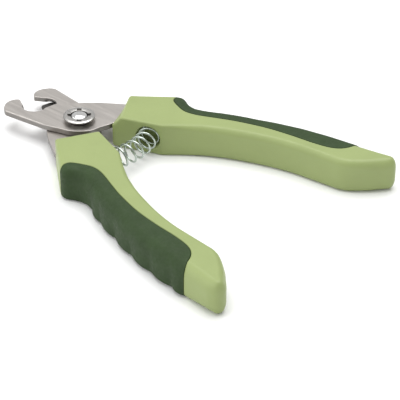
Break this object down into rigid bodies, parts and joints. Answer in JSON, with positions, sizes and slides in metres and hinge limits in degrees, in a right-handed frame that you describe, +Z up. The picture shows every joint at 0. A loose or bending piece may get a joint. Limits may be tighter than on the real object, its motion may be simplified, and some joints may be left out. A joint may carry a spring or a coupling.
{
  "type": "plier-type pet nail clipper",
  "caption": "Pet nail trimmer like pliers: hooked steel blades crossing on a ringed pivot, spread handles with soft grips, a coil return spring between them and a swing-out nail stop.",
  "frame": {"origin": "on the surface that the open tool lies on, under the middle of its bounding box", "axes": "+X from the jaws towards the handle ends, +Y towards the handle that carries the upper blade, +Z up through the thickness of the tool"},
  "size_m": [0.1606, 0.1174, 0.015],
  "materials": {
    "blade_steel": "satin ground stainless steel",
    "green_plastic": "pale green moulded plastic with a soft sheen",
    "dark_rubber": "dark olive green soft rubber, matt",
    "hardware_steel": "turned steel",
    "bright_chrome": "polished chrome",
    "spring_wire": "bright plated wire"
  },
  "bodies": {
    "lower_half": {"lower_blade": "blade_steel", "lower_handle_core": "green_plastic", "lower_handle_grip": "dark_rubber", "pivot_bolt": "hardware_steel", "pivot_washer": "hardware_steel", "pivot_notched_ring": "hardware_steel", "pivot_dome_nut": "bright_chrome", "return_spring": "spring_wire", "nail_stop_screw": "hardware_steel"},
    "upper_half": {"upper_blade": "blade_steel", "upper_handle_core": "green_plastic", "upper_handle_grip": "dark_rubber"},
    "nail_stop": {"nail_stop_plate": "blade_steel", "nail_stop_washer": "hardware_steel"}
  },
  "joints": [
    {"name": "jaw_pivot", "type": "hinge", "parent": "lower_half", "child": "upper_half", "pos_m": [-0.04565, 0, 0.0075], "axis": [0, 0, 1], "range_deg": [-39, 0], "stiffness_Nm_per_rad": 0.35, "springref_deg": 17.19, "deforming": ["return_spring"]},
    {"name": "nail_stop_swing", "type": "hinge", "parent": "lower_half", "child": "nail_stop", "pos_m": [-0.05715, 0.003, 0.0041], "axis": [0, 0, 1], "range_deg": [-75, 0]}
  ]
}
